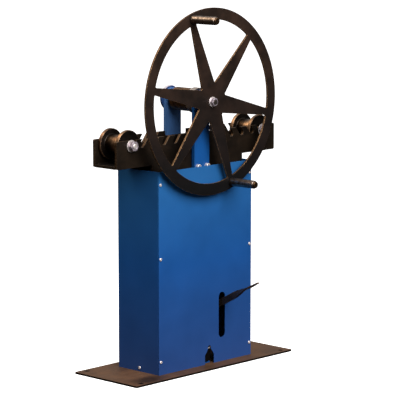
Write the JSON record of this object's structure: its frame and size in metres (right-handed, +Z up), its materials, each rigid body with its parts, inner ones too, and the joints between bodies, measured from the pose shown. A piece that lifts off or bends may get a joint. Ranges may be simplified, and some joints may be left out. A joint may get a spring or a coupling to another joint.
{
  "type": "ring roller",
  "caption": "Pedestal ring roller: a spoked handwheel turns the top roller and a foot pump lifts a notched carriage with flanged rollers, to bend bar or tube into rings.",
  "frame": {"origin": "on the base plate's underside, under the middle of the tower", "axes": "+Z up, the handwheel and pedal face -Y, +X to the operator's right"},
  "size_m": [0.745, 0.4025, 1.188],
  "materials": {
    "base_steel": "hot rolled, bare, brown mill scale",
    "blue_enamel": "satin blue enamel",
    "black_steel": "blackened plate, satin",
    "roller_steel": "turned and oiled",
    "grip_steel": "dark, oiled",
    "zinc_plate": "bright zinc plate",
    "bronze": "turned bronze",
    "jack_iron": "painted casting",
    "jack_paint": "gloss black",
    "spring_steel": "oiled wire",
    "plug_rubber": "moulded"
  },
  "bodies": {
    "frame": {"base_plate": "base_steel", "front_post": "blue_enamel", "rear_post": "blue_enamel", "front_bearing_housing": "roller_steel", "rear_bearing_housing": "blue_enamel", "shaft_bushes": "bronze", "column_guide": "blue_enamel", "gib_strips": "bronze", "gib_bolts": "zinc_plate", "case_shell": "blue_enamel", "front_cover": "blue_enamel", "cover_screws": "zinc_plate", "case_tabs": "blue_enamel", "tab_screws": "zinc_plate", "jack_base": "jack_iron", "jack_bolts": "zinc_plate", "jack_reservoir": "jack_paint", "jack_cylinder": "roller_steel", "jack_gland": "jack_iron", "filler_plug": "plug_rubber", "pump_barrel": "roller_steel", "pedal_bracket": "black_steel", "pedal_pin": "zinc_plate"},
    "wheel": {"handwheel": "black_steel", "wheel_hub": "black_steel", "hub_washer": "zinc_plate", "hub_nut": "zinc_plate", "top_shaft": "roller_steel", "top_roller": "roller_steel", "roller_spacer": "roller_steel", "shaft_keys": "roller_steel", "grip_bolts": "zinc_plate", "grip_nuts": "zinc_plate"},
    "upper_grip": {"upper_grip": "grip_steel"},
    "lower_grip": {"lower_grip": "grip_steel"},
    "carriage": {"beam_front_plate": "black_steel", "beam_rear_plate": "black_steel", "beam_floor": "black_steel", "beam_webs": "black_steel", "lift_column": "black_steel", "column_pad": "black_steel", "axle_bolts": "zinc_plate", "axle_washers": "zinc_plate", "axle_nuts": "zinc_plate"},
    "left_roller": {"left_roller": "roller_steel", "left_roller_bushes": "bronze"},
    "right_roller": {"right_roller": "roller_steel", "right_roller_bushes": "bronze"},
    "ram": {"jack_ram": "roller_steel", "ram_saddle": "roller_steel"},
    "pedal": {"pedal_lever": "grip_steel"},
    "plunger": {"pump_plunger": "roller_steel", "return_spring": "spring_steel"},
    "release": {"toe_lever": "black_steel", "valve_stem": "roller_steel", "valve_nut": "zinc_plate"}
  },
  "joints": [
    {"name": "wheel_spin", "type": "hinge", "parent": "frame", "child": "wheel", "pos_m": [0, 0, 0.883], "axis": [0, 1, 0], "continuous": true},
    {"name": "upper_grip_spin", "type": "hinge", "parent": "wheel", "child": "upper_grip", "pos_m": [-0.09169, 0, 1.1539], "axis": [0, 1, 0], "continuous": true},
    {"name": "lower_grip_spin", "type": "hinge", "parent": "wheel", "child": "lower_grip", "pos_m": [0.09169, 0, 0.6121], "axis": [0, 1, 0], "continuous": true},
    {"name": "carriage_lift", "type": "slide", "parent": "frame", "child": "carriage", "axis": [0, 0, 1], "range_m": [0, 0.075]},
    {"name": "ram_lift", "type": "slide", "parent": "frame", "child": "ram", "axis": [0, 0, 1], "range_m": [0, 0.075]},
    {"name": "left_roller_spin", "type": "hinge", "parent": "carriage", "child": "left_roller", "pos_m": [-0.308, 0, 0.761], "axis": [0, 1, 0], "continuous": true},
    {"name": "right_roller_spin", "type": "hinge", "parent": "carriage", "child": "right_roller", "pos_m": [0.308, 0, 0.761], "axis": [0, 1, 0], "continuous": true},
    {"name": "pedal_press", "type": "hinge", "parent": "frame", "child": "pedal", "pos_m": [0.077, 0.0415, 0.1381], "axis": [1, 0, 0], "range_deg": [0, 38], "stiffness_Nm_per_rad": 8, "springref_deg": -25.78},
    {"name": "plunger_stroke", "type": "slide", "parent": "frame", "child": "plunger", "axis": [0, 0, -1], "range_m": [0, 0.0272], "deforming": ["return_spring"]},
    {"name": "release_turn", "type": "hinge", "parent": "frame", "child": "release", "pos_m": [0.0175, 0, 0.066], "axis": [0, 1, 0], "range_deg": [0, 30]}
  ],
  "couplings": [
    {"joint": "ram_lift", "follows": "carriage_lift", "ratio": 1},
    {"joint": "plunger_stroke", "follows": "pedal_press", "m_per_rad": 0.0404}
  ]
}
